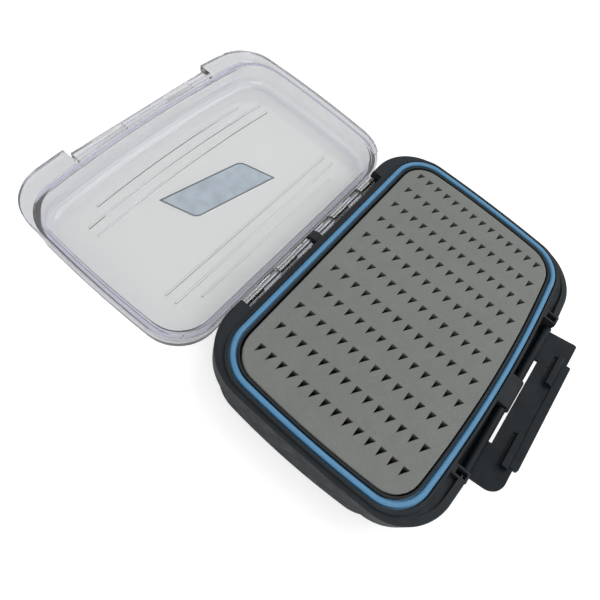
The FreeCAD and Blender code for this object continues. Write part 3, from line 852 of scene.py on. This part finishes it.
class FLYBOX_OT_foam(bpy.types.Operator):
    """Foam pad with rows of soft slots, in place of the plain foam"""

    bl_idname = "flybox.foam"
    bl_label = "Foam"

    def execute(self, context):
        foam = make_foam(context.scene.flybox_foam)
        dress(foam, cell_foam("cell foam", context.scene.flybox_foam.colour))
        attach(foam, "base")
        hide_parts("foam_pad")
        return {"FINISHED"}


class FLYBOX_OT_hidden_layers(bpy.types.Operator):
    """Finishes of the board and the adhesive under the foam"""

    bl_idname = "flybox.hidden_layers"
    bl_label = "Board and adhesive"

    def execute(self, context):
        colours = context.scene.flybox_colours
        dress(frame["nodes"]["insert_plate"], plain_sheet("board", colours.board, 0.6))
        dress(frame["nodes"]["foam_adhesive"], plain_sheet("adhesive", colours.adhesive, 0.5))
        return {"FINISHED"}


class FLYBOX_OT_seal(bpy.types.Operator):
    """Finish of the blue seal"""

    bl_idname = "flybox.seal"
    bl_label = "Seal"

    def execute(self, context):
        dress(frame["nodes"]["gasket"], soft_rubber("seal silicone", context.scene.flybox_colours.seal))
        return {"FINISHED"}


class FLYBOX_OT_lid(bpy.types.Operator):
    """Finish of the clear lid"""

    bl_idname = "flybox.lid"
    bl_label = "Lid"

    def execute(self, context):
        dress(frame["nodes"]["lid"], clear_plastic("clear plastic", context.scene.flybox_colours.clear))
        return {"FINISHED"}


class FLYBOX_OT_badge(bpy.types.Operator):
    """Blank badge with a band of painted shade round its edge, in place of the plain plate"""

    bl_idname = "flybox.badge"
    bl_label = "Badge"

    def execute(self, context):
        badge = make_badge(context.scene.flybox_badge)
        dress(badge, badge_film("badge film", context.scene.flybox_colours.badge))
        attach(badge, "lid")
        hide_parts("badge")
        return {"FINISHED"}


class FLYBOX_OT_latch(bpy.types.Operator):
    """Finish of the latch"""

    bl_idname = "flybox.latch"
    bl_label = "Latch"

    def execute(self, context):
        dark = moulded_plastic("latch plastic", context.scene.flybox_colours.latch, shine=0.20)
        dress(frame["nodes"]["latch"], dark)
        return {"FINISHED"}


class FLYBOX_OT_pins(bpy.types.Operator):
    """Finish of the four steel pins"""

    bl_idname = "flybox.pins"
    bl_label = "Pins"

    def execute(self, context):
        steel = drawn_steel("drawn steel", context.scene.flybox_colours.steel)
        for name in ("hinge_pin_left", "hinge_pin_right", "latch_pin_left", "latch_pin_right"):
            dress(frame["nodes"][name], steel)
        return {"FINISHED"}


class FLYBOX_OT_stage(bpy.types.Operator):
    """Pale floor, soft lamps and the camera"""

    bl_idname = "flybox.stage"
    bl_label = "Stage"

    def execute(self, context):
        settings = context.scene.flybox_stage
        make_floor(settings)
        make_sky(settings)
        make_lamp("key_lamp", settings.key_power, *KEY_LAMP)
        make_lamp("fill_lamp", settings.fill_power, *FILL_LAMP)
        make_camera()
        context.scene.view_settings.view_transform = "Standard"
        return {"FINISHED"}


# Stage


def seen_rays(tree):
    """1 for rays that come from the camera, a mirror or clear plastic, and 0 for the rest."""
    rays = tree.nodes.new("ShaderNodeLightPath")
    total = rays.outputs["Is Camera Ray"]
    for name in ("Is Glossy Ray", "Is Transmission Ray"):
        both = tree.nodes.new("ShaderNodeMath")
        both.operation = "MAXIMUM"
        tree.links.new(total, both.inputs[0])
        tree.links.new(rays.outputs[name], both.inputs[1])
        total = both.outputs[0]
    return total


FLOOR_DARK = (0.82, 0.82, 0.825)
FLOOR_PALE = (0.84, 0.84, 0.845)


def make_floor(settings):
    """A level pale floor. It keeps its shadows, and is a little brighter where it is looked at."""
    half = settings.floor_half
    corners = np.array([[-half, -half], [half, -half], [half, half], [-half, half]])
    points = np.column_stack([corners, np.full(4, -settings.floor_drop)])
    floor = new_piece("floor", points, [[0, 1, 2, 3]], smooth=False)
    finish = Finish("floor")
    shader = finish.shader(FLOOR_PALE, 0.9, Specular_IOR_Level=0.0)
    grain = finish.noise(3 * MM)
    finish.link(finish.ramp(grain, [(0.3, FLOOR_DARK), (0.7, FLOOR_PALE)]), shader.inputs["Base Color"])
    glow = finish.node("ShaderNodeEmission")
    rays = finish.node("ShaderNodeLightPath")
    looked_at = finish.sum("MULTIPLY", rays.outputs["Is Camera Ray"], settings.floor_glow)
    mirrored = finish.sum("MULTIPLY", seen_rays(finish.tree), settings.mirrored_glow)
    finish.link(finish.sum("MAXIMUM", looked_at, mirrored), glow.inputs["Strength"])
    total = finish.node("ShaderNodeAddShader")
    finish.link(shader.outputs[0], total.inputs[0])
    finish.link(glow.outputs[0], total.inputs[1])
    finish.link(total.outputs[0], finish.output.inputs["Surface"])
    dress(floor, finish.material)


def make_sky(settings):
    """Even light all round, white where it is looked at."""
    world = bpy.data.worlds.new("studio")
    bpy.context.scene.world = world
    world.use_nodes = True
    tree = world.node_tree
    background = tree.nodes["Background"]
    background.inputs["Color"].default_value = (1.0, 1.0, 1.0, 1.0)
    strength = tree.nodes.new("ShaderNodeMapRange")
    strength.inputs["To Min"].default_value = settings.sky
    strength.inputs["To Max"].default_value = 1.0
    tree.links.new(seen_rays(tree), strength.inputs["Value"])
    tree.links.new(strength.outputs["Result"], background.inputs["Strength"])


def make_lamp(name, power, size, place):
    """A square soft lamp that shines at the middle of the box."""
    data = bpy.data.lights.new(name, "AREA")
    data.energy = power
    data.size = size
    lamp = bpy.data.objects.new(name, data)
    bpy.context.scene.collection.objects.link(lamp)
    middle = (CAD_BOX[0] + CAD_BOX[1]) / 2.0
    lamp.location = place
    lamp.rotation_mode = "QUATERNION"
    lamp.rotation_quaternion = (middle - place).to_track_quat("-Z", "Y")


def make_camera():
    """The camera stands where the photograph was taken from, by its right and up directions."""
    data = bpy.data.cameras.new("camera")
    data.sensor_width = SENSOR_MM
    data.lens = CAMERA_FOCAL_PIXELS / RENDER_PIXELS * SENSOR_MM
    data.clip_start, data.clip_end = CAMERA_REACH
    camera = bpy.data.objects.new("camera", data)
    bpy.context.scene.collection.objects.link(camera)
    back = CAMERA_RIGHT.cross(CAMERA_UP)
    turned = Matrix((CAMERA_RIGHT, CAMERA_UP, back)).transposed()
    camera.matrix_world = Matrix.LocRotScale(CAMERA_PLACE, turned.to_quaternion(), None)
    bpy.context.scene.camera = camera


# Panel and registration


class FLYBOX_PT_panel(bpy.types.Panel):
    """Sizes, colours and steps of the fly box"""

    bl_label = "Fly box"
    bl_idname = "FLYBOX_PT_panel"
    bl_space_type = "VIEW_3D"
    bl_region_type = "UI"
    bl_category = "Fly box"

    def draw(self, context):
        layout = self.layout
        for step in STEPS:
            layout.operator(step.bl_idname)
        for group_name in GROUPS:
            column = layout.column()
            group = getattr(context.scene, group_name)
            for key in group.bl_rna.properties.keys():
                if key not in ("rna_type", "name"):
                    column.prop(group, key)


STEPS = (
    FLYBOX_OT_base, FLYBOX_OT_foam, FLYBOX_OT_hidden_layers, FLYBOX_OT_seal, FLYBOX_OT_lid,
    FLYBOX_OT_badge, FLYBOX_OT_latch, FLYBOX_OT_pins, FLYBOX_OT_stage,
)
GROUPS = {
    "flybox_foam": FoamSizes, "flybox_colours": FinishColours, "flybox_badge": BadgeSizes,
    "flybox_stage": StageSettings,
}


def register():
    for cls in (*GROUPS.values(), *STEPS, FLYBOX_PT_panel):
        bpy.utils.register_class(cls)
    for name, group in GROUPS.items():
        setattr(bpy.types.Scene, name, PointerProperty(type=group))


def unregister():
    for name in GROUPS:
        delattr(bpy.types.Scene, name)
    for cls in reversed((*GROUPS.values(), *STEPS, FLYBOX_PT_panel)):
        bpy.utils.unregister_class(cls)


def main():
    register()
    for step in STEPS:
        group, name = step.bl_idname.split(".")
        getattr(getattr(bpy.ops, group), name)()


if __name__ == "__main__":
    main()
